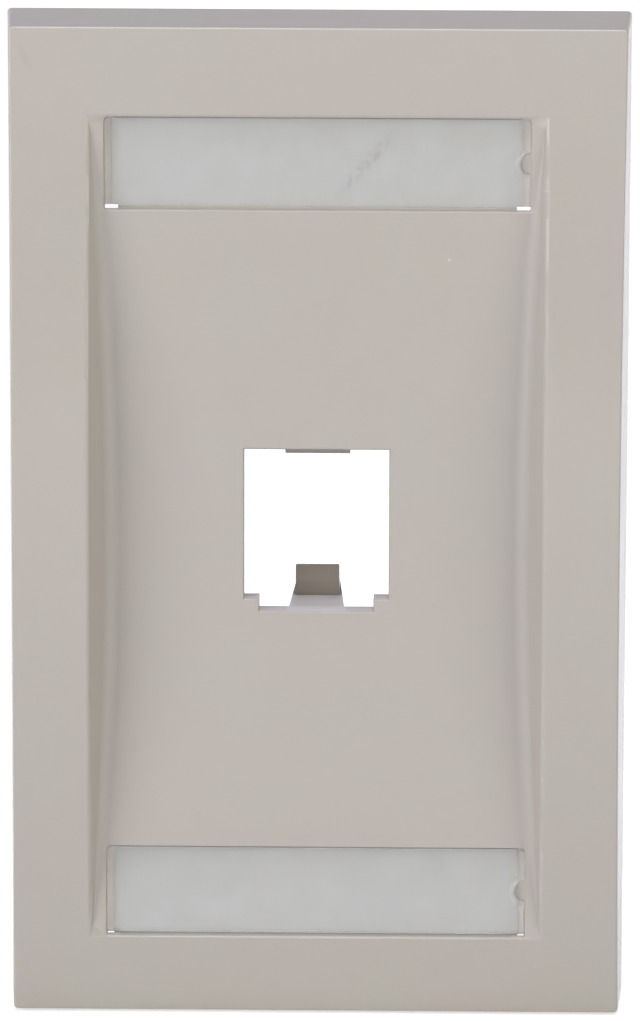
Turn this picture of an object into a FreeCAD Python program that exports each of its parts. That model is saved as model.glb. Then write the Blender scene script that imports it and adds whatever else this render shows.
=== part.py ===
import FreeCAD, Part
import math
import os

from FreeCAD import Vector

os.makedirs("parts", exist_ok=True)

# Keystone faceplate, single gang. Millimetres. The wall plane is Y = 0, the front faces -Y and +Z is up.
# The origin is the centre of the fixing-screw pattern, on the wall plane.

# outline of the plate
plateWidth = 69.85
plateHeight = 114.3
sideDraft = math.radians(3.5)
endDraft = math.radians(2.0)
cornerRadius = 0.5
frontRound = 0.3
wall = 2.2

# crowned rim: the front is part of a large cylinder lying across the plate
crownDepth = 17.5
crownRadius = 205.0
sweepHalfAngle = 19.5

# sunk flat panel with its drafted side walls
panelDepth = 11.9
panelThickness = 2.4
rimHalfWidth = 25.35
rimRound = 0.6
panelWallDraft = math.radians(20.0)
valleyRound = 1.8
valleyFade = 0.1
valleyFull = 32.0
valleyEnd = 45.3

# label recesses
upperRecess = 41.9
lowerRecess = -42.05
recessHalfWidth = 23.66
recessHeight = 10.5
recessDepth = 1.5
recessFloor = 1.4
recessCorner = 0.5
recessFoot = 0.25
mouthBevel = 0.15
trayWall = 1.4
upperSlotWidth = 1.5
lowerSlotWidth = 0.8
upperSlotRise = 0.32
lowerSlotRise = 0.06
slotBelow = 0.7
slotLip = 0.95
beadHeight = 0.1
beadRadius = 0.375
beadInset = 0.7

# clear label covers and the loose cards behind them
coverThickness = 1.1
coverSet = 0.06
coverEndGap = 0.06
coverHeight = 10.02
coverCorner = 0.5
coverBevel = 0.1
coverLift = 0.42
reliefHeight = 0.2
notchFrontRadius = 1.65
notchBackRadius = 1.1
cardThickness = 0.3
cardWidth = 45.4
cardHeight = 10.0
upperCardLift = 0.45
lowerCardLift = 0.08
upperCardShift = -0.08
lowerCardShift = 0.1

# fixing screws: number 6 oval head
screwPitch = 83.34
screwHoleRadius = 2.05
sinkRadius = 3.7
sinkAngle = math.radians(41.0)
bossRadius = 4.3
bossSetBack = 0.3
gussetThickness = 1.0
gussetReach = 4.0
gussetSetBack = 3.5

# keystone port, wide above and narrower under its ledge
portHalfWidth = 8.1
portTop = 9.4
portLedge = -7.8
portBottom = -9.25
portStepHalfWidth = 6.4
portBevel = 0.2
frameClearance = 0.45
frameWall = 1.3
frameDepth = 9.4
frameFloor = -13.2
frameCorner = 1.0

# fixed top catch and springy latch tongue
catchFace = 8.0
catchHalfWidth = 3.66
catchThickness = 1.4
catchLip = 7.1
catchRelief = 0.8
tongueRootHalfWidth = 3.1
tongueTipHalfWidth = 2.46
tongueLength = 14.6
tongueThickness = 1.5
tongueTipThickness = 1.1
rootRound = 1.2
hookFace = 7.6
hookHeight = 3.3
hookKnee = 1.6
hookLean = 0.4
hookTop = 0.7
hookRamp = 5.2
hookHalfWidth = 2.46

# stiffening on the back
ribThickness = 1.2
ribSetBack = 6.0
channelRibPitch = 20.0
linkRibHeight = 3.0
endRibSpread = 12.0
markRadius = 2.5
markDepth = 0.15
markSpread = 17.0
markPitch = 22.0

# values that follow from the dimensions above
halfWidth = plateWidth / 2
halfHeight = plateHeight / 2
panelY = -panelDepth
panelBack = panelY + panelThickness
crownAxisY = crownRadius - crownDepth
blockDepth = crownDepth + 2.0
floorY = panelY + recessDepth
floorBack = floorY + recessFloor
frameBack = panelY + frameDepth
frameHalfWidth = portHalfWidth + frameClearance
frameRoof = portTop + frameClearance
coverFront = panelY + coverSet
coverBack = coverFront + coverThickness
into = 0.5
reach = 70.0


def box(x0, x1, y0, y1, z0, z1):
    return Part.makeBox(x1 - x0, y1 - y0, z1 - z0, Vector(x0, y0, z0))


def sideProfile(points, halfX):
    """Prism of a side-view outline given as depth and height pairs, centred on the middle line."""
    corners = [Vector(-halfX, y, z) for y, z in points]
    return Part.Face(Part.makePolygon(corners + corners[:1])).extrude(Vector(2 * halfX, 0, 0))


def plug(halfX, z0, z1, radius, y0, y1):
    """Rounded rectangular block through the plate, between two depths."""
    outline = roundedOutline(halfX, (z1 - z0) / 2, radius, y0, (z0 + z1) / 2)
    return Part.Face(outline).extrude(Vector(0, y1 - y0, 0))


def roundedOutline(halfX, halfZ, radius, y, centreZ=0.0):
    """Closed wire of a rounded rectangle in the plane at this depth."""
    c = math.sqrt(0.5) * radius
    edges = []
    corners = ((1, 1), (-1, 1), (-1, -1), (1, -1))
    for i in range(4):
        sx, sz = corners[i]
        nx, nz = corners[(i + 1) % 4]
        ox = sx * (halfX - radius)
        oz = centreZ + sz * (halfZ - radius)
        px = nx * (halfX - radius)
        pz = centreZ + nz * (halfZ - radius)
        if i % 2 == 0:
            start = Vector(ox + sx * radius, y, oz)
            end = Vector(ox, y, oz + sz * radius)
            following = Vector(px, y, pz + nz * radius)
        else:
            start = Vector(ox, y, oz + sz * radius)
            end = Vector(ox + sx * radius, y, oz)
            following = Vector(px + nx * radius, y, pz)
        middle = Vector(ox + sx * c, y, oz + sz * c)
        edges.append(Part.Arc(start, middle, end).toShape())
        edges.append(Part.makeLine(end, following))
    return Part.Wire(edges)


def taperedBlock(inset, radius):
    """Drafted block inside the plate's four sides, from behind the wall plane to in front of the crown."""
    rearX = halfWidth - inset
    rearZ = halfHeight - inset
    frontX = rearX - blockDepth * math.tan(sideDraft)
    frontZ = rearZ - blockDepth * math.tan(endDraft)
    wedge = Part.makeWedge(-frontX, -blockDepth, -frontZ, -rearZ, -rearX, frontX, 0, frontZ, rearZ, rearX)
    slanted = [e for e in wedge.Edges if e.BoundBox.YLength > blockDepth / 2]
    return wedge.makeFillet(radius, slanted)


def sweepCrown(face):
    """Turn a face drawn at Z = 0 about the crown's axis, to both ends of the plate."""
    centre = Vector(0, crownAxisY, 0)
    across = Vector(1, 0, 0)
    face.rotate(centre, across, -sweepHalfAngle)
    return face.revolve(centre, across, 2 * sweepHalfAngle)


def crownPoint(x, below):
    return Vector(x, -crownDepth + below, 0)


def crownSlab(halfX, below):
    """Everything at least this far below the crown surface, over a width."""
    deep = crownDepth + 2.5
    corners = [crownPoint(-halfX, below), crownPoint(halfX, below)]
    corners += [crownPoint(halfX, deep), crownPoint(-halfX, deep)]
    return sweepCrown(Part.Face(Part.makePolygon(corners + corners[:1])))


def borderSide(side):
    """Raised border on one side of the panel, with its rounded rim and drafted wall."""
    tangent = rimRound / math.tan(math.radians(45) + panelWallDraft / 2)
    start = crownPoint(side * (rimHalfWidth + tangent), 0)
    wallX = rimHalfWidth - tangent * math.sin(panelWallDraft)
    end = crownPoint(side * wallX, tangent * math.cos(panelWallDraft))
    centre = crownPoint(side * (rimHalfWidth + tangent), rimRound)
    towards = crownPoint(side * rimHalfWidth, 0) - centre
    middle = centre + towards.normalize() * rimRound
    foot = crownDepth - panelDepth + 2.0
    footX = side * (rimHalfWidth - foot * math.tan(panelWallDraft))
    deep = crownDepth + 2.5
    outer = side * (halfWidth + 3)
    edges = [Part.Arc(start, middle, end).toShape()]
    corners = [end, crownPoint(footX, foot), crownPoint(footX, deep)]
    corners += [crownPoint(outer, deep), crownPoint(outer, 0), start]
    edges += [Part.makeLine(a, b) for a, b in zip(corners, corners[1:])]
    return sweepCrown(Part.Face(Part.Wire(edges)))


def channelSide(side):
    """Hollow behind one raised border, one wall thickness inside its rim and drafted wall."""
    topX = rimHalfWidth + wall / math.cos(panelWallDraft)
    deep = crownDepth + 2.5
    corners = [crownPoint(side * (topX - wall * math.tan(panelWallDraft)), wall)]
    corners += [crownPoint(side * (topX - deep * math.tan(panelWallDraft)), deep)]
    corners += [crownPoint(side * (halfWidth + 3), deep), crownPoint(side * (halfWidth + 3), wall)]
    return sweepCrown(Part.Face(Part.makePolygon(corners + corners[:1])))


def behind(y):
    return box(-reach, reach, y, reach, -reach, reach)


def softenCrown(body):
    """Round the crown's edge all the way round the outline of the plate."""
    crown = [f for f in body.Faces if isinstance(f.Surface, Part.Cylinder)]
    crown = max(crown, key=lambda f: f.Surface.Radius)
    rim = []
    for edge in crown.Edges:
        span = edge.BoundBox
        if max(-span.XMin, span.XMax) > halfWidth - 2.0 or max(-span.ZMin, span.ZMax) > halfHeight - 1.5:
            rim.append(edge)
    return body.makeFillet(frontRound, rim)


def valleyEdges(body, length):
    """Long edges where the panel meets its two side walls."""
    found = []
    for edge in body.Edges:
        span = edge.BoundBox
        if span.YLength < 1e-3 and abs(span.YMin - panelY) < 1e-3 and span.ZLength > length:
            found.append(edge)
    return found


def softenValleys(body):
    """Round the foot of both panel walls, fading out where the walls run to nothing."""
    full = body.common(box(-reach, reach, -reach, reach, -valleyFull, valleyFull)).Solids[0]
    full = full.makeFillet(valleyRound, valleyEdges(full, valleyFull))
    fading = body.common(box(-reach, reach, -reach, reach, valleyFull, valleyEnd)).Solids[0]
    for side in (0, 1):
        edge = valleyEdges(fading, (valleyEnd - valleyFull) / 2)[side]
        radii = (valleyRound, valleyFade)
        if edge.valueAt(edge.FirstParameter).z > (valleyFull + valleyEnd) / 2:
            radii = (valleyFade, valleyRound)
        fading = fading.makeFillet(radii[0], radii[1], [edge])
    other = fading.mirror(Vector(0, 0, 0), Vector(0, 0, 1))
    ends = body.cut(box(-reach, reach, -reach, reach, -valleyEnd, valleyEnd))
    return ends.fuse([full, fading, other]).removeSplitter().Solids[0]


def plateOutside():
    panel = crownSlab(rimHalfWidth + 1.0, 0).common(behind(panelY))
    front = panel.fuse([borderSide(-1), borderSide(1)])
    solid = taperedBlock(0.0, cornerRadius).common(front).removeSplitter().Solids[0]
    return softenValleys(softenCrown(solid))


def backHollow():
    """Space inside the shell, one wall behind the crown, the side walls and the panel."""
    middle = crownSlab(rimHalfWidth, wall).common(behind(panelBack))
    space = middle.fuse([channelSide(-1), channelSide(1)])
    return taperedBlock(wall, cornerRadius).common(space)


def recessMiddle(side):
    return upperRecess if side > 0 else lowerRecess


def recessLow(side):
    return recessMiddle(side) - recessHeight / 2


def recess(side):
    """Label recess with rounded upper corners and nearly square lower ones."""
    low = recessLow(side)
    whole = plug(recessHalfWidth, low, low + recessHeight, recessCorner, panelY - 1.0, floorY)
    foot = plug(recessHalfWidth, low, low + recessHeight / 2, recessFoot, panelY - 1.0, floorY)
    return whole.fuse(foot).removeSplitter()


def tray(side):
    """Walls and floor behind a label recess, where it is deeper than the panel."""
    low = recessLow(side)
    x = recessHalfWidth + trayWall
    return box(-x, x, panelBack - into, floorBack, low - trayWall, low + recessHeight + trayWall)


def cornerSlot(side, hand):
    """Slot through the floor in a lower corner of a recess, cut on through the rear of its lower wall."""
    low = recessLow(side)
    width, rise = (upperSlotWidth, upperSlotRise) if side > 0 else (lowerSlotWidth, lowerSlotRise)
    x0, x1 = sorted((hand * recessHalfWidth, hand * (recessHalfWidth - width)))
    return box(x0, x1, panelY + slotLip, floorBack + into, low - slotBelow, low + rise)


def bead(side, hand):
    """Small half-round bead on the lower wall that keeps the cover off the slot."""
    x0 = min(hand * (recessHalfWidth - recessFoot), hand * (recessHalfWidth - upperSlotWidth))
    start = Vector(x0, panelY + beadInset, recessLow(side) + beadHeight - beadRadius)
    return Part.makeCylinder(beadRadius, upperSlotWidth - recessFoot, start, Vector(1, 0, 0))


def screwBoss(side):
    """Round boss behind a recess with four tapering gussets."""
    z = side * screwPitch / 2
    length = -bossSetBack - floorBack + into
    boss = Part.makeCylinder(bossRadius, length, Vector(0, floorBack - into, z), Vector(0, 1, 0))
    far = bossRadius + gussetReach
    corners = [Vector(0, floorBack - into, z), Vector(far, floorBack - into, z), Vector(far, floorBack, z)]
    corners += [Vector(bossRadius, -gussetSetBack, z), Vector(0, -gussetSetBack, z)]
    web = Part.Face(Part.makePolygon(corners + corners[:1])).extrude(Vector(0, 0, gussetThickness))
    web.translate(Vector(0, 0, -gussetThickness / 2))
    webs = []
    for quarter in range(4):
        turned = web.copy()
        turned.rotate(Vector(0, 0, z), Vector(0, 1, 0), 90 * quarter)
        webs.append(turned)
    return [boss] + webs


def screwHole(side):
    z = side * screwPitch / 2
    along = Vector(0, 1, 0)
    hole = Part.makeCylinder(screwHoleRadius, panelDepth + 1.0, Vector(0, floorY - into, z), along)
    sinkLength = (sinkRadius - screwHoleRadius) / math.tan(sinkAngle)
    sink = Part.makeCone(sinkRadius, screwHoleRadius, sinkLength, Vector(0, floorY, z), along)
    return [hole, sink]


def portFrame():
    """Tube behind the port that the jack is held in."""
    x = frameHalfWidth + frameWall
    return plug(x, frameFloor - frameWall, frameRoof + frameWall, frameCorner, panelBack - into, frameBack)


def portOpening():
    """Stepped opening through the panel."""
    wide = box(-portHalfWidth, portHalfWidth, panelY - 1.0, panelBack, portLedge, portTop)
    narrow = box(-portStepHalfWidth, portStepHalfWidth, panelY - 1.0, panelBack, portBottom, portLedge + into)
    return wide.fuse(narrow).removeSplitter()


def frameHollow():
    return box(-frameHalfWidth, frameHalfWidth, panelBack, frameBack + 1.0, frameFloor, frameRoof)


def topCatch():
    """Fixed catch hanging from the roof of the frame."""
    face = panelY + catchFace
    back = face + catchThickness
    outline = [(face, frameRoof + into), (face, catchLip), (face + catchThickness / 2, catchLip)]
    outline += [(back, catchLip + catchRelief), (back, frameRoof + into)]
    return sideProfile(outline, catchHalfWidth)


def latchTongue():
    """Springy tongue reaching back from the foot of the port, narrowing to its hooked tip."""
    root = panelY + into
    tip = panelY + tongueLength
    low = portBottom - tongueThickness
    rise = rootRound * (1 - math.sqrt(0.5))
    start = Vector(-reach, panelBack, low - rootRound)
    middle = Vector(-reach, panelBack + rise, low - rise)
    end = Vector(-reach, panelBack + rootRound, low)
    corners = [end, Vector(-reach, tip, portBottom - tongueTipThickness), Vector(-reach, tip, portBottom)]
    corners += [Vector(-reach, root, portBottom), Vector(-reach, root, low - rootRound), start]
    edges = [Part.Arc(start, middle, end).toShape()]
    edges += [Part.makeLine(a, b) for a, b in zip(corners, corners[1:])]
    side = Part.Face(Part.Wire(edges)).extrude(Vector(2 * reach, 0, 0))
    plan = [Vector(-tongueRootHalfWidth, panelY, 0), Vector(-tongueRootHalfWidth, panelBack, 0)]
    plan += [Vector(-tongueTipHalfWidth, tip, 0), Vector(tongueTipHalfWidth, tip, 0)]
    plan += [Vector(tongueRootHalfWidth, panelBack, 0), Vector(tongueRootHalfWidth, panelY, 0)]
    taper = Part.Face(Part.makePolygon(plan + plan[:1])).extrude(Vector(0, 0, -reach))
    return side.common(taper)


def latchHook():
    """Hook on the tongue: an upright face, a nose leaning back and a long ramp behind."""
    face = panelY + hookFace
    foot = portBottom - into
    top = portBottom + hookHeight
    outline = [(face, foot), (face, portBottom + hookKnee), (face + hookLean, top)]
    outline += [(face + hookLean + hookTop, top), (face + hookRamp, portBottom + hookLean)]
    outline += [(face + hookRamp, foot)]
    return sideProfile(outline, hookHalfWidth)


def channelRibs():
    """Cross ribs in the two side channels."""
    ribs = []
    for step in range(-2, 3):
        z = step * channelRibPitch
        for side in (-1, 1):
            x0, x1 = sorted((side * rimHalfWidth, side * halfWidth))
            ribs.append(box(x0, x1, -blockDepth, -ribSetBack, z - ribThickness / 2, z + ribThickness / 2))
    return ribs


def panelRibs():
    """Ribs that carry on from the frame's sides to the trays, and short ones from the trays to the ends."""
    ribs = []
    half = ribThickness / 2
    top = panelBack + linkRibHeight
    for side in (-1, 1):
        x = side * (frameHalfWidth + frameWall / 2)
        ribs.append(box(x - half, x + half, panelBack - into, top, frameRoof, recessLow(1)))
        ribs.append(box(x - half, x + half, panelBack - into, top, recessLow(-1) + recessHeight, frameFloor))
        x = side * endRibSpread
        for end in (-1, 1):
            z0, z1 = sorted((recessMiddle(end) + end * recessHeight / 2, end * halfHeight))
            ribs.append(box(x - half, x + half, -blockDepth, -ribSetBack, z0, z1))
    return ribs


def ejectorMarks():
    """Shallow round marks on the back of the panel."""
    marks = []
    for x in (-markSpread, markSpread):
        for z in (-markPitch, 0, markPitch):
            start = Vector(x, panelBack - markDepth, z)
            marks.append(Part.makeCylinder(markRadius, markDepth + into, start, Vector(0, 1, 0)))
    return marks


def mouthEdges(body, x, z0, z1):
    """Edges of an opening in the front of the panel, inside a rectangle."""
    found = []
    for edge in body.Edges:
        span = edge.BoundBox
        flat = span.YLength < 1e-3 and abs(span.YMin - panelY) < 1e-3
        if flat and span.XMax < x and span.XMin > -x and span.ZMin > z0 and span.ZMax < z1:
            found.append(edge)
    return found


def faceplate():
    kept = [portFrame()] + channelRibs() + panelRibs()
    for side in (-1, 1):
        kept += [tray(side)] + screwBoss(side)
    body = plateOutside().cut(backHollow().cut(kept))
    body = body.cut([recess(-1), recess(1), portOpening(), frameHollow()])
    near = 0.1
    for side in (-1, 1):
        low = recessLow(side)
        mouth = mouthEdges(body, recessHalfWidth + near, low - near, low + recessHeight + near)
        body = body.makeChamfer(mouthBevel, mouth)
    body = body.makeChamfer(portBevel, mouthEdges(body, portHalfWidth + near, portBottom - near, portTop + near))
    added = [topCatch(), latchTongue(), latchHook()]
    removed = ejectorMarks()
    for side in (-1, 1):
        added += [bead(side, -1), bead(side, 1)]
        removed += [cornerSlot(side, -1), cornerSlot(side, 1)] + screwHole(side)
    return body.fuse(added).cut(removed).removeSplitter()


def labelCover(side):
    """Clear cover with bevelled front edges, corner reliefs and a finger notch in its right-hand end."""
    low = recessLow(side) + coverLift
    halfX = recessHalfWidth - coverEndGap
    cover = plug(halfX, low, low + coverHeight, coverCorner, coverFront, coverBack)
    outline = [e for e in cover.Edges if e.BoundBox.YMax < coverFront + 1e-3]
    cover = cover.makeChamfer(coverBevel, outline)
    slope = (notchFrontRadius - notchBackRadius) / coverThickness
    start = Vector(recessHalfWidth, coverFront - into, recessMiddle(side))
    wide = notchFrontRadius + slope * into
    narrow = notchBackRadius - slope * into
    notch = Part.makeCone(wide, narrow, coverThickness + 2 * into, start, Vector(0, 1, 0))
    cuts = [notch]
    for hand in (-1, 1):
        x0, x1 = sorted((hand * (halfX + into), hand * (halfX - upperSlotWidth)))
        cuts.append(box(x0, x1, coverFront - into, coverBack + into, low - into, low + reliefHeight))
    return cover.cut(cuts)


def labelCard(side, lift, shift):
    low = recessLow(side) + lift
    x0 = shift - cardWidth / 2
    return box(x0, x0 + cardWidth, floorY - cardThickness, floorY, low, low + cardHeight)


def main():
    pieces = {
        "faceplate": faceplate(),
        "label_cover_top": labelCover(1),
        "label_cover_bottom": labelCover(-1),
        "label_card_top": labelCard(1, upperCardLift, upperCardShift),
        "label_card_bottom": labelCard(-1, lowerCardLift, lowerCardShift),
    }
    for name, shape in pieces.items():
        solid = shape.Solids[0]
        print(name, len(shape.Solids), solid.isValid(), len(solid.Faces), "faces", round(solid.Volume, 1), "mm3")
        solid.exportStep("parts/" + name + ".step")


main()
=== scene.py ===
import bmesh
import bpy
import math
from mathutils import Matrix, Vector


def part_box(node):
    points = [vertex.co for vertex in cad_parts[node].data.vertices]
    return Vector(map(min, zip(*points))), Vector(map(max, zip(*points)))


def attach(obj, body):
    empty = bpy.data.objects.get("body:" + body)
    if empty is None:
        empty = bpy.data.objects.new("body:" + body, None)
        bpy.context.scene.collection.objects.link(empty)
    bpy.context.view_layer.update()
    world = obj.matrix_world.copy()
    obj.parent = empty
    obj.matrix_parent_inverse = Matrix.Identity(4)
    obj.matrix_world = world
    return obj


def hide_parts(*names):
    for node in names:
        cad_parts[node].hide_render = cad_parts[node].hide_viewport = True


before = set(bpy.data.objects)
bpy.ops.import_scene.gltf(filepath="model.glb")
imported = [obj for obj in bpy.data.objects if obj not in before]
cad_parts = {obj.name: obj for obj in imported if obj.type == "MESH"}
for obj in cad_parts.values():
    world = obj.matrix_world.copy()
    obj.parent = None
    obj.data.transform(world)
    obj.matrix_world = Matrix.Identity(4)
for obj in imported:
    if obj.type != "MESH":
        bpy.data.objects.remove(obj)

print("faceplate: frame loaded")

for name in ("Cube", "Light", "Camera"):  # the start-up file's own objects
    spare = bpy.data.objects.get(name)
    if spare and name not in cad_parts:
        bpy.data.objects.remove(spare)

scene = bpy.context.scene
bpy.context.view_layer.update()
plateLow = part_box("faceplate")[0]


# how groups and materials are put together

def makeGroup(name, inputs, outputs):
    group = bpy.data.node_groups.new(name, "ShaderNodeTree")
    for label, kind, value in inputs:
        socket = group.interface.new_socket(label, in_out="INPUT", socket_type=kind)
        socket.default_value = value
    for label, kind in outputs:
        group.interface.new_socket(label, in_out="OUTPUT", socket_type=kind)
    start = group.nodes.new("NodeGroupInput")
    end = group.nodes.new("NodeGroupOutput")
    return group, start, end


def addNode(tree, kind, **settings):
    node = tree.nodes.new(kind)
    for key, value in settings.items():
        setattr(node, key, value)
    return node


def plug(tree, source, target):
    if hasattr(source, "is_output"):
        tree.links.new(source, target)
    else:
        target.default_value = source


def math2(tree, operation, first, second=0.0):
    node = addNode(tree, "ShaderNodeMath", operation=operation)
    plug(tree, first, node.inputs[0])
    plug(tree, second, node.inputs[1])
    return node.outputs[0]


def isNear(tree, value, middle, half):
    node = addNode(tree, "ShaderNodeMath", operation="COMPARE")
    for i, source in enumerate((value, middle, half)):
        plug(tree, source, node.inputs[i])
    return node.outputs[0]


def splitAxes(tree, vector):
    node = addNode(tree, "ShaderNodeSeparateXYZ")
    plug(tree, vector, node.inputs[0])
    return node.outputs


def bumpNormal(tree, height, strength, distance):
    node = addNode(tree, "ShaderNodeBump")
    node.inputs["Strength"].default_value = strength
    plug(tree, distance, node.inputs["Distance"])
    plug(tree, height, node.inputs["Height"])
    return node.outputs["Normal"]


def mixColour(tree, factor, first, second, blend="MIX"):
    node = addNode(tree, "ShaderNodeMix", data_type="RGBA", blend_type=blend)
    plug(tree, factor, node.inputs[0])
    plug(tree, first, node.inputs[6])
    plug(tree, second, node.inputs[7])
    return node.outputs[2]


def noise(tree, vector, scale, detail=2.0, roughness=0.5):
    node = addNode(tree, "ShaderNodeTexNoise")
    plug(tree, vector, node.inputs["Vector"])
    plug(tree, scale, node.inputs["Scale"])
    node.inputs["Detail"].default_value = detail
    node.inputs["Roughness"].default_value = roughness
    return node.outputs["Fac"]


def smoothRange(tree, value, low, high, outLow=0.0, outHigh=1.0):
    node = addNode(tree, "ShaderNodeMapRange", interpolation_type="SMOOTHSTEP")
    plug(tree, value, node.inputs["Value"])
    plug(tree, low, node.inputs["From Min"])
    plug(tree, high, node.inputs["From Max"])
    plug(tree, outLow, node.inputs["To Min"])
    plug(tree, outHigh, node.inputs["To Max"])
    return node.outputs["Result"]


def useGroup(tree, group, **values):
    node = addNode(tree, "ShaderNodeGroup", node_tree=group)
    for label, value in values.items():
        plug(tree, value, node.inputs[label])
    return node


def newMaterial(name):
    material = bpy.data.materials.new(name)
    material.use_nodes = True
    tree = material.node_tree
    tree.nodes.clear()
    output = addNode(tree, "ShaderNodeOutputMaterial")
    shader = addNode(tree, "ShaderNodeBsdfPrincipled")
    tree.links.new(shader.outputs["BSDF"], output.inputs["Surface"])
    where = addNode(tree, "ShaderNodeTexCoord").outputs["Object"]
    return material, tree, shader, output, where


def letThrough(tree, shader, output, factor, colour):  # part of the rays pass straight through
    clear = addNode(tree, "ShaderNodeBsdfTransparent")
    clear.inputs["Color"].default_value = colour
    mix = addNode(tree, "ShaderNodeMixShader")
    plug(tree, factor, mix.inputs[0])
    tree.links.new(shader.outputs["BSDF"], mix.inputs[1])
    tree.links.new(clear.outputs["BSDF"], mix.inputs[2])
    tree.links.new(mix.outputs[0], output.inputs["Surface"])


def addGrain(tree, where, look):
    return useGroup(tree, grainGroup, Vector=where, Scale=look["grainScale"], Height=look["grainHeight"],
                    Roughness=look["roughness"], Spread=look["roughnessSpread"]).outputs


def addTint(tree, where, look):
    tint = useGroup(tree, tintGroup, Vector=where, Colour=look["colour"], Warm=look["warm"],
                    Cool=look["cool"], Scale=look["patchScale"], Amount=look["patchAmount"])
    return tint.outputs["Colour"]


def aimed(azimuth, elevation, distance):  # placed round the origin and turned to face it
    flat = math.cos(elevation)
    away = Vector((math.sin(azimuth) * flat, -math.cos(azimuth) * flat, math.sin(elevation)))
    return Matrix.Translation(away * distance) @ away.to_track_quat("Z", "Y").to_matrix().to_4x4()


# shared effects

effects = {
    "patchNoise": (3.0, 0.55),
    "patchRange": (0.38, 0.62),
    "fineNoise": (2.0, 0.6),
    "coarseNoise": (2.0, 0.5),
    "coarseScale": 0.07,
    "coarseHeight": 2.0,
    "grainStrength": 1.0,
    "spotEdge": (0.35, 1.0, 1.0, 0.0),
}


def makeTintGroup():  # soft warm and cool patches, as in a plastic that has yellowed unevenly
    group, start, end = makeGroup(
        "uneven tint",
        [("Vector", "NodeSocketVector", (0, 0, 0)), ("Colour", "NodeSocketColor", (0.5, 0.5, 0.5, 1)),
         ("Warm", "NodeSocketColor", (1, 0.98, 0.97, 1)), ("Cool", "NodeSocketColor", (0.98, 1, 0.98, 1)),
         ("Scale", "NodeSocketFloat", 60.0), ("Amount", "NodeSocketFloat", 0.5)],
        [("Colour", "NodeSocketColor")])
    broad = noise(group, start.outputs["Vector"], start.outputs["Scale"], *effects["patchNoise"])
    patch = smoothRange(group, broad, *effects["patchRange"])
    tint = mixColour(group, patch, start.outputs["Warm"], start.outputs["Cool"])
    result = mixColour(group, start.outputs["Amount"], start.outputs["Colour"], tint, "MULTIPLY")
    plug(group, result, end.inputs["Colour"])
    return group


def makeGrainGroup():  # fine moulded grain: a normal and a small change of roughness
    group, start, end = makeGroup(
        "moulded grain",
        [("Vector", "NodeSocketVector", (0, 0, 0)), ("Scale", "NodeSocketFloat", 2500.0),
         ("Height", "NodeSocketFloat", 0.00001), ("Roughness", "NodeSocketFloat", 0.4),
         ("Spread", "NodeSocketFloat", 0.06)],
        [("Normal", "NodeSocketVector"), ("Roughness", "NodeSocketFloat")])
    fine = noise(group, start.outputs["Vector"], start.outputs["Scale"], *effects["fineNoise"])
    coarseScale = math2(group, "MULTIPLY", start.outputs["Scale"], effects["coarseScale"])
    coarse = noise(group, start.outputs["Vector"], coarseScale, *effects["coarseNoise"])
    height = math2(group, "ADD", fine, math2(group, "MULTIPLY", coarse, effects["coarseHeight"]))
    normal = bumpNormal(group, height, effects["grainStrength"], start.outputs["Height"])
    centred = math2(group, "SUBTRACT", coarse, 0.5)
    change = math2(group, "MULTIPLY", centred, start.outputs["Spread"])
    plug(group, normal, end.inputs["Normal"])
    plug(group, math2(group, "ADD", start.outputs["Roughness"], change), end.inputs["Roughness"])
    return group


def makeSpotGroup():  # one soft-edged oval mark: centre, size and lean as seen from the front
    group, start, end = makeGroup(
        "oval mark",
        [("Vector", "NodeSocketVector", (0, 0, 0)), ("Centre", "NodeSocketVector", (0, 0, 0)),
         ("Size", "NodeSocketVector", (0.001, 1.0, 0.001)), ("Lean", "NodeSocketFloat", 0.0)],
        [("Mask", "NodeSocketFloat")])
    offset = addNode(group, "ShaderNodeVectorMath", operation="SUBTRACT")
    plug(group, start.outputs["Vector"], offset.inputs[0])
    plug(group, start.outputs["Centre"], offset.inputs[1])
    turn = addNode(group, "ShaderNodeVectorRotate", rotation_type="Y_AXIS")
    plug(group, offset.outputs[0], turn.inputs["Vector"])
    plug(group, start.outputs["Lean"], turn.inputs["Angle"])
    scaled = addNode(group, "ShaderNodeVectorMath", operation="DIVIDE")
    plug(group, turn.outputs[0], scaled.inputs[0])
    plug(group, start.outputs["Size"], scaled.inputs[1])
    length = addNode(group, "ShaderNodeVectorMath", operation="LENGTH")
    plug(group, scaled.outputs[0], length.inputs[0])
    plug(group, smoothRange(group, length.outputs["Value"], *effects["spotEdge"]), end.inputs["Mask"])
    return group


def makeBlockGroup():  # a crisp block of the moulding, given by its centre and half sizes
    group, start, end = makeGroup(
        "block mask",
        [("Vector", "NodeSocketVector", (0, 0, 0)), ("Centre", "NodeSocketVector", (0, 0, 0)),
         ("Half", "NodeSocketVector", (0.001, 0.001, 0.001))],
        [("Mask", "NodeSocketFloat")])
    point, centre, half = (splitAxes(group, start.outputs[source]) for source in ("Vector", "Centre", "Half"))
    within = [isNear(group, point[axis], centre[axis], half[axis]) for axis in ("X", "Y", "Z")]
    mask = math2(group, "MULTIPLY", math2(group, "MULTIPLY", within[0], within[1]), within[2])
    plug(group, mask, end.inputs["Mask"])
    return group


tintGroup = makeTintGroup()
blockGroup = makeBlockGroup()
grainGroup = makeGrainGroup()
spotGroup = makeSpotGroup()
print("faceplate: shared effects ready")


# plate: grey moulded plastic, with painted light and painted shade inside the port and the recesses

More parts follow.
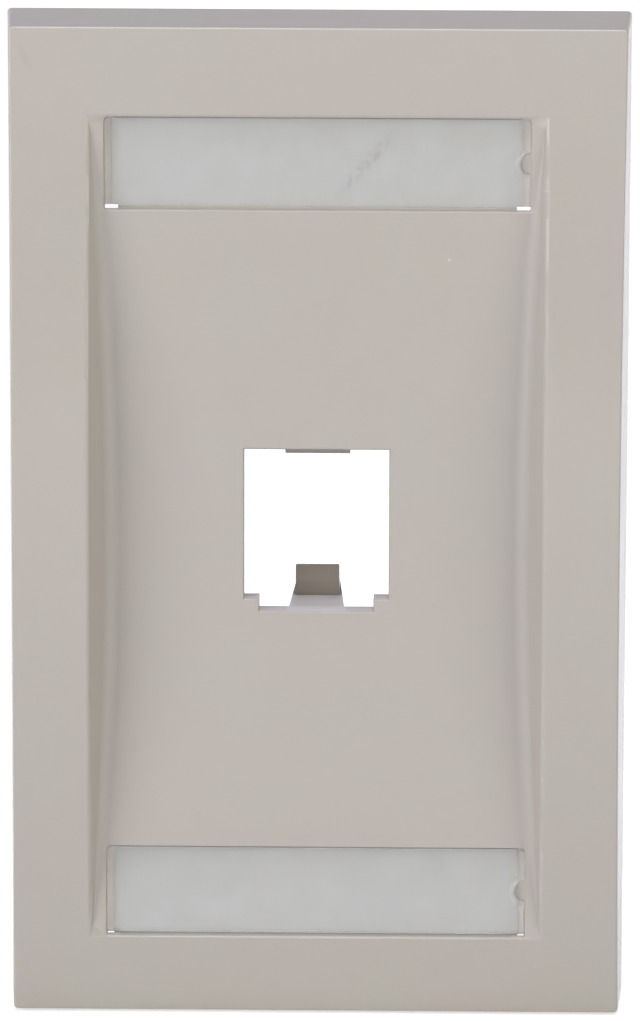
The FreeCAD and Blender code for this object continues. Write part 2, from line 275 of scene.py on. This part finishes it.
plateLook = {
    "colour": (0.462, 0.424, 0.385, 1),
    "warm": (1.0, 0.972, 0.965, 1),
    "cool": (0.972, 0.992, 0.965, 1),
    "patchScale": 75.0,
    "patchAmount": 0.75,
    "grainScale": 2600.0,
    "grainHeight": 0.000003,
    "roughness": 0.22,
    "roughnessSpread": 0.08,
    "rubbed": (0.60, 0.575, 0.55, 1),
    "soiled": (0.33, 0.30, 0.27, 1),
    "speckleNoise": (1500.0, 1.0),
    "speckleRange": (0.68, 0.80),
    "speckleAmount": 0.10,
    "ior": 1.5,
    "marks": (("tick", 0.4, "rubbed"), ("scuff", 0.15, "soiled"), ("fleck", 0.8, "rubbed")),
    "blockStrength": 0.8,
    "tongueLightRange": (-0.0118, -0.0045, 0.25, 1.0),
    "hookShadeKneeRange": (-0.00775, -0.00755, 1.0, 0.70),
    "tick": {"Centre": (0.02545, 0, 0.0394), "Size": (0.0006, 1, 0.00010), "Lean": 0.0},
    "scuff": {"Centre": (-0.0325, 0, 0.0535), "Size": (0.0006, 1, 0.0022), "Lean": 0.5},
    "fleck": {"Centre": (0.0147, 0, 0.0312), "Size": (0.00028, 1, 0.00024), "Lean": 0.0},
    "sill": {"Centre": (0, -0.01055, -0.00855), "Half": (0.0085, 0.00115, 0.00085)},
    "tongueTop": {"Centre": (0, -0.0080, -0.00925), "Half": (0.0033, 0.0037, 0.00012)},
    "hookFace": {"Centre": (0, -0.0041, -0.0076), "Half": (0.0025, 0.00045, 0.00168)},
    "upperFloor": {"Centre": (0, -0.0104, 0.0419), "Half": (0.0238, 0.0003, 0.0054)},
    "lowerFloor": {"Centre": (0, -0.0104, -0.04205), "Half": (0.0238, 0.0003, 0.0054)},
    # painted light on the port's upward-facing sill
    "paintedSillLight": (0.62, 0.585, 0.565, 1),
    # painted light on the recess floors at the ends of the cards
    "paintedFloorLight": (0.64, 0.60, 0.54, 1),
    # painted light and painted reflection on the tongue top, strongest towards the hook
    "paintedTongueLight": (0.84, 0.815, 0.82, 1),
    # painted shade on the hook's face deep in the port, lighter above its knee
    "paintedHookShade": (0.325, 0.288, 0.242, 1),
}


def makePlatePlastic():
    look = plateLook
    material, tree, shader, output, where = newMaterial("moulded grey plastic")
    colour = addTint(tree, where, look)
    speckle = smoothRange(tree, noise(tree, where, *look["speckleNoise"]), *look["speckleRange"])
    colour = mixColour(tree, math2(tree, "MULTIPLY", speckle, look["speckleAmount"]), colour, look["soiled"])
    axes = splitAxes(tree, where)
    # painted light on the tongue top, a quarter as strong at the front edge as near the hook
    rear = smoothRange(tree, axes["Y"], *look["tongueLightRange"])
    # painted shade on the hook face: full below the knee, 70 percent above it
    hookShadeLevel = smoothRange(tree, axes["Z"], *look["hookShadeKneeRange"])
    even = look["blockStrength"]
    # painted light on the sill, the tongue top and the recess floors; painted shade on the hook face
    blocks = (("sill", even, "paintedSillLight"), ("tongueTop", rear, "paintedTongueLight"), ("hookFace", hookShadeLevel, "paintedHookShade"),
              ("upperFloor", even, "paintedFloorLight"), ("lowerFloor", even, "paintedFloorLight"))
    for group, places in ((spotGroup, look["marks"]), (blockGroup, blocks)):
        for place, strength, paint in places:
            mask = useGroup(tree, group, Vector=where, **look[place]).outputs["Mask"]
            colour = mixColour(tree, math2(tree, "MULTIPLY", mask, strength), colour, look[paint])
    plug(tree, colour, shader.inputs["Base Color"])
    grain = addGrain(tree, where, look)
    plug(tree, grain["Roughness"], shader.inputs["Roughness"])
    plug(tree, grain["Normal"], shader.inputs["Normal"])
    shader.inputs["IOR"].default_value = look["ior"]
    return material


# label covers: clear plastic, open to light so that the cards behind are lit

coverLook = {
    "colour": (0.93, 0.92, 0.90, 1),
    "clearness": 0.92,
    "through": (0.965, 0.968, 0.962, 1),
    "grainScale": 900.0,
    "grainHeight": 0.00000006,
    "roughness": 0.05,
    "roughnessSpread": 0.05,
    "endRoughness": 0.26,
    "endFrom": 0.0217,
    "endTo": 0.0233,
    "notchX": 0.02366,
    "notchZ": 0.041975,
    "notchReach": 0.0017,
    "notchRoughness": 0.5,
    "ringOuter": 0.00155,
    "ringInner": 0.00119,
    "ringHalf": 0.00013,
    # white of the random haze clouds, also the painted highlight on the outer ring round the finger notch
    "hazeCloudAndRingHighlight": (1.0, 1.0, 1.0, 1),
    # painted shade on the inner ring round the finger notch
    "paintedRingShade": (0.66, 0.64, 0.61, 1),
    "cloudNoise": (400.0, 2.0),
    "cloudRange": (0.4, 0.7),
    "cloudAmount": 0.5,
    "ior": 1.49,
}


def makeCoverPlastic():
    look = coverLook
    material, tree, shader, output, where = newMaterial("clear cover plastic")
    axes = splitAxes(tree, where)
    acrossNotch = math2(tree, "SUBTRACT", axes["X"], look["notchX"])
    upNotch = math2(tree, "SUBTRACT", math2(tree, "ABSOLUTE", axes["Z"]), look["notchZ"])
    squares = math2(tree, "ADD", math2(tree, "POWER", acrossNotch, 2.0), math2(tree, "POWER", upNotch, 2.0))
    fromNotch = math2(tree, "SQRT", squares)
    cloud = smoothRange(tree, noise(tree, where, *look["cloudNoise"]), *look["cloudRange"])
    cloud = math2(tree, "MULTIPLY", cloud, look["cloudAmount"])
    colour = mixColour(tree, cloud, look["colour"], look["hazeCloudAndRingHighlight"])
    # painted highlight on the outer ring and painted shade on the inner ring round the finger notch
    for radius, paint in (("ringOuter", "hazeCloudAndRingHighlight"), ("ringInner", "paintedRingShade")):
        ring = isNear(tree, fromNotch, look[radius], look["ringHalf"])
        colour = mixColour(tree, ring, colour, look[paint])
    plug(tree, colour, shader.inputs["Base Color"])
    shader.inputs["Transmission Weight"].default_value = look["clearness"]
    shader.inputs["IOR"].default_value = look["ior"]
    grain = addGrain(tree, where, look)
    outward = math2(tree, "ABSOLUTE", axes["X"])
    frosted = smoothRange(tree, outward, look["endFrom"], look["endTo"], 0.0, look["endRoughness"])
    notchWall = math2(tree, "LESS_THAN", fromNotch, look["notchReach"])
    notchWall = math2(tree, "MULTIPLY", notchWall, look["notchRoughness"])
    frosted = math2(tree, "MAXIMUM", frosted, notchWall)
    plug(tree, math2(tree, "ADD", grain["Roughness"], frosted), shader.inputs["Roughness"])
    plug(tree, grain["Normal"], shader.inputs["Normal"])
    rays = addNode(tree, "ShaderNodeLightPath")
    passing = math2(tree, "MAXIMUM", rays.outputs["Is Shadow Ray"], rays.outputs["Is Diffuse Ray"])
    letThrough(tree, shader, output, passing, look["through"])
    return material


# label cards: matt paper, a little handled

cardLook = {
    "colour": (0.40, 0.40, 0.40, 1),
    "warm": (1.0, 0.99, 0.975, 1),
    "cool": (0.985, 0.99, 1.0, 1),
    "patchScale": 90.0,
    "patchAmount": 0.7,
    "fibre": (0.35, 0.345, 0.335, 1),
    "smudge": (0.15, 0.148, 0.152, 1),
    "smudgeBand": {"Centre": (0.0057, 0, 0.0422), "Size": (0.0009, 1, 0.0064), "Lean": -0.70},
    "smudgeNoise": (1300.0, 4.0, 0.6),
    "smudgeRange": (0.40, 0.62),
    "smudgeAmount": 0.36,
    "fibreNoise": (1300.0, 3.0, 0.65),
    "fibreStretch": (1.0, 1.0, 6.0),
    "fibreTurn": (0.0, 0.4, 0.0),
    "fibreRange": (0.55, 0.75),
    "fibreAmount": 0.16,
    "fibreBump": 0.5,
    "fibreHeight": 0.000003,
    "roughness": (0.85, 0.95),
    "thinness": 0.65,
    "clear": (1.0, 1.0, 1.0, 1),
    # the card's colour turns partly tan over the last millimetre at each end
    "edge": (0.44, 0.405, 0.355, 1),
    "tanEndRange": (0.0219, 0.0229, 0.0, 0.75),
}


def makeCardPaper():
    look = cardLook
    material, tree, shader, output, where = newMaterial("label paper")
    stretch = addNode(tree, "ShaderNodeMapping")
    stretch.inputs["Scale"].default_value = look["fibreStretch"]
    stretch.inputs["Rotation"].default_value = look["fibreTurn"]
    plug(tree, where, stretch.inputs["Vector"])
    fibre = noise(tree, stretch.outputs[0], *look["fibreNoise"])
    fibre = smoothRange(tree, fibre, *look["fibreRange"])
    fibreMask = math2(tree, "MULTIPLY", fibre, look["fibreAmount"])
    colour = mixColour(tree, fibreMask, addTint(tree, where, look), look["fibre"])
    outward = math2(tree, "ABSOLUTE", splitAxes(tree, where)["X"])
    # partly tan over the last millimetre at each end
    tanTowardEnds = smoothRange(tree, outward, *look["tanEndRange"])
    colour = mixColour(tree, tanTowardEnds, colour, look["edge"])
    band = useGroup(tree, spotGroup, Vector=where, **look["smudgeBand"])
    cloudy = smoothRange(tree, noise(tree, where, *look["smudgeNoise"]), *look["smudgeRange"])
    smear = math2(tree, "MULTIPLY", band.outputs["Mask"], cloudy)
    colour = mixColour(tree, math2(tree, "MULTIPLY", smear, look["smudgeAmount"]), colour, look["smudge"])
    plug(tree, colour, shader.inputs["Base Color"])
    plug(tree, bumpNormal(tree, fibre, look["fibreBump"], look["fibreHeight"]), shader.inputs["Normal"])
    plug(tree, smoothRange(tree, fibre, 0.0, 1.0, *look["roughness"]), shader.inputs["Roughness"])
    rays = addNode(tree, "ShaderNodeLightPath")  # thin paper lets part of the light through to the floor
    passing = math2(tree, "MULTIPLY", rays.outputs["Is Shadow Ray"], look["thinness"])
    letThrough(tree, shader, output, passing, look["clear"])
    return material


platePlastic = makePlatePlastic()
coverPlastic = makeCoverPlastic()
cardPaper = makeCardPaper()
finishes = {
    "faceplate": platePlastic,
    "label_cover_top": coverPlastic,
    "label_cover_bottom": coverPlastic,
    "label_card_top": cardPaper,
    "label_card_bottom": cardPaper,
}
for node, material in finishes.items():
    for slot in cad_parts[node].material_slots:
        slot.material = material
print("faceplate: finishes on")


# the moulding's own mesh, merged and shaded smooth across its rounds

shell = {
    "mergeWithin": 0.000002,
    "weight": 100,
    "sharpAngle": math.radians(50.0),
    "crispAngle": math.radians(5.0),
    "crispLow": (-0.0026, -0.0046, -0.0095),
    "crispHigh": (0.0026, 0.0035, -0.0055),
}


def isInside(point, low, high):
    return all(a <= p <= b for a, p, b in zip(low, point, high))


def isSmooth(edge, look):  # the hook's flat faces stay crisp, everything else is smooth up to the sharp angle
    if not edge.is_manifold:
        return False
    crisp = all(isInside(v.co, look["crispLow"], look["crispHigh"]) for v in edge.verts)
    return edge.calc_face_angle(0.0) < look["crispAngle" if crisp else "sharpAngle"]


def smoothCopy(node, look, body, finish):
    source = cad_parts[node]
    mesh = source.data.copy()
    mesh.transform(source.matrix_world)
    if "custom_normal" in mesh.attributes:
        mesh.attributes.remove(mesh.attributes["custom_normal"])
    edit = bmesh.new()
    edit.from_mesh(mesh)
    bmesh.ops.remove_doubles(edit, verts=edit.verts, dist=look["mergeWithin"])
    for face in edit.faces:
        face.smooth = True
    for edge in edit.edges:
        edge.smooth = isSmooth(edge, look)
    edit.to_mesh(mesh)
    edit.free()
    draft = bpy.data.objects.new(node + "_draft", mesh)
    scene.collection.objects.link(draft)
    weighted = draft.modifiers.new("weighted", "WEIGHTED_NORMAL")
    weighted.keep_sharp = True
    weighted.weight = look["weight"]
    evaluated = draft.evaluated_get(bpy.context.evaluated_depsgraph_get())
    finished = bpy.data.meshes.new_from_object(evaluated)
    bpy.data.objects.remove(draft)
    piece = bpy.data.objects.new(node + "_smooth", finished)
    scene.collection.objects.link(piece)
    piece.data.materials.clear()
    piece.data.materials.append(finish)
    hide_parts(node)
    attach(piece, body)


smoothCopy("faceplate", shell, "plate", platePlastic)
print("faceplate: smooth shell made")


# camera

view = {
    "azimuth": math.radians(0.937),
    "elevation": math.radians(13.954),
    "distance": 0.98902,
    "roll": math.radians(0.1521),
    "lens": 491.15,
    "shift": (0.00270, -0.00708),
    "sensor": 36.0,
    "clip": (0.05, 50.0),
}


def addCamera():
    data = bpy.data.cameras.new("camera")
    camera = bpy.data.objects.new("camera", data)
    scene.collection.objects.link(camera)
    data.sensor_fit = "HORIZONTAL"
    data.sensor_width = view["sensor"]
    data.lens = view["lens"]
    data.shift_x, data.shift_y = view["shift"]
    data.clip_start, data.clip_end = view["clip"]
    roll = Matrix.Rotation(view["roll"], 4, "Z")
    camera.matrix_world = aimed(view["azimuth"], view["elevation"], view["distance"]) @ roll
    scene.camera = camera


addCamera()


# studio: pale floor, soft lamps, surroundings white to the camera and dimmer in reflections

studio = {
    "floorSize": 8.0,
    "floorColour": (0.70, 0.70, 0.70, 1),
    "floorGlow": 0.60,
    "floorRoughness": 0.9,
    "ambient": 0.125,
    "ambientBehind": 0.26,
    "mirror": 1.0,
    "mirrorOverhead": 0.22,
    "mirrorFront": 0.22,
    "risingFrom": (0.08, 0.28),
    "frontFrom": (-0.30, 0.20),
    "behindFrom": (0.1, 0.7),
}
lamps = {
    "left": {"azimuth": -50, "elevation": 17, "distance": 1.6, "size": 1.0, "power": 15.2,
             "colour": (1.0, 0.995, 0.975)},
    "right": {"azimuth": 50, "elevation": 17, "distance": 1.6, "size": 1.0, "power": 9.2,
              "colour": (1.0, 0.965, 0.78)},
    "high": {"azimuth": 0, "elevation": 78, "distance": 1.6, "size": 1.0, "power": 21.9,
             "colour": (0.775, 0.81, 1.0)},
    "rear": {"azimuth": 180, "elevation": 6, "distance": 1.8, "size": 1.0, "power": 7.0,
             "colour": (1.0, 1.0, 1.0), "mirrored": False},
}


def addFloor():
    half = studio["floorSize"] / 2
    z = plateLow.z
    mesh = bpy.data.meshes.new("floor")
    corners = [(-half, -half, z), (half, -half, z), (half, half, z), (-half, half, z)]
    mesh.from_pydata(corners, [], [(0, 1, 2, 3)])
    floor = bpy.data.objects.new("floor", mesh)
    scene.collection.objects.link(floor)
    material, tree, shader, output, where = newMaterial("studio floor")
    shader.inputs["Base Color"].default_value = studio["floorColour"]
    shader.inputs["Roughness"].default_value = studio["floorRoughness"]
    rays = addNode(tree, "ShaderNodeLightPath")
    seen = math2(tree, "MAXIMUM", rays.outputs["Is Camera Ray"], rays.outputs["Is Glossy Ray"])
    seen = math2(tree, "MAXIMUM", seen, rays.outputs["Is Transmission Ray"])
    glow = addNode(tree, "ShaderNodeEmission")
    plug(tree, math2(tree, "MULTIPLY", seen, studio["floorGlow"]), glow.inputs["Strength"])
    both = addNode(tree, "ShaderNodeAddShader")
    tree.links.new(shader.outputs["BSDF"], both.inputs[0])
    tree.links.new(glow.outputs[0], both.inputs[1])
    tree.links.new(both.outputs[0], output.inputs["Surface"])
    floor.data.materials.append(material)


def addWorld():
    world = bpy.data.worlds.new("studio")
    world.use_nodes = True
    scene.world = world
    tree = world.node_tree
    tree.nodes.clear()
    output = addNode(tree, "ShaderNodeOutputWorld")
    back = addNode(tree, "ShaderNodeBackground")
    direction = addNode(tree, "ShaderNodeTexCoord").outputs["Generated"]
    towards = splitAxes(tree, direction)
    rays = addNode(tree, "ShaderNodeLightPath")
    overhead = (*studio["risingFrom"], studio["mirror"], studio["mirrorOverhead"])
    front = (*studio["frontFrom"], studio["mirrorFront"], studio["mirror"])
    mirrored = smoothRange(tree, towards["Z"], *overhead)
    mirrored = math2(tree, "MINIMUM", mirrored, smoothRange(tree, towards["Y"], *front))
    soft = smoothRange(tree, towards["Y"], *studio["behindFrom"], studio["ambient"], studio["ambientBehind"])
    seen = math2(tree, "MAXIMUM", rays.outputs["Is Camera Ray"], rays.outputs["Is Transmission Ray"])
    light = math2(tree, "MULTIPLY", rays.outputs["Is Glossy Ray"], mirrored)
    plain = math2(tree, "SUBTRACT", 1.0, rays.outputs["Is Glossy Ray"])
    light = math2(tree, "ADD", light, math2(tree, "MULTIPLY", plain, soft))
    strength = math2(tree, "MAXIMUM", light, seen)
    plug(tree, strength, back.inputs["Strength"])
    tree.links.new(back.outputs[0], output.inputs["Surface"])


def addLamp(name, lamp):
    data = bpy.data.lights.new(name, "AREA")
    data.shape = "SQUARE"
    data.size = lamp["size"]
    data.energy = lamp["power"]
    data.color = lamp["colour"]
    holder = bpy.data.objects.new(name, data)
    holder.visible_glossy = lamp.get("mirrored", True)
    scene.collection.objects.link(holder)
    azimuth, elevation = math.radians(lamp["azimuth"]), math.radians(lamp["elevation"])
    holder.matrix_world = aimed(azimuth, elevation, lamp["distance"])


addFloor()
addWorld()
for name, lamp in lamps.items():
    addLamp(name, lamp)
scene.view_settings.view_transform = "Standard"
print("faceplate: camera, floor and lamps set")
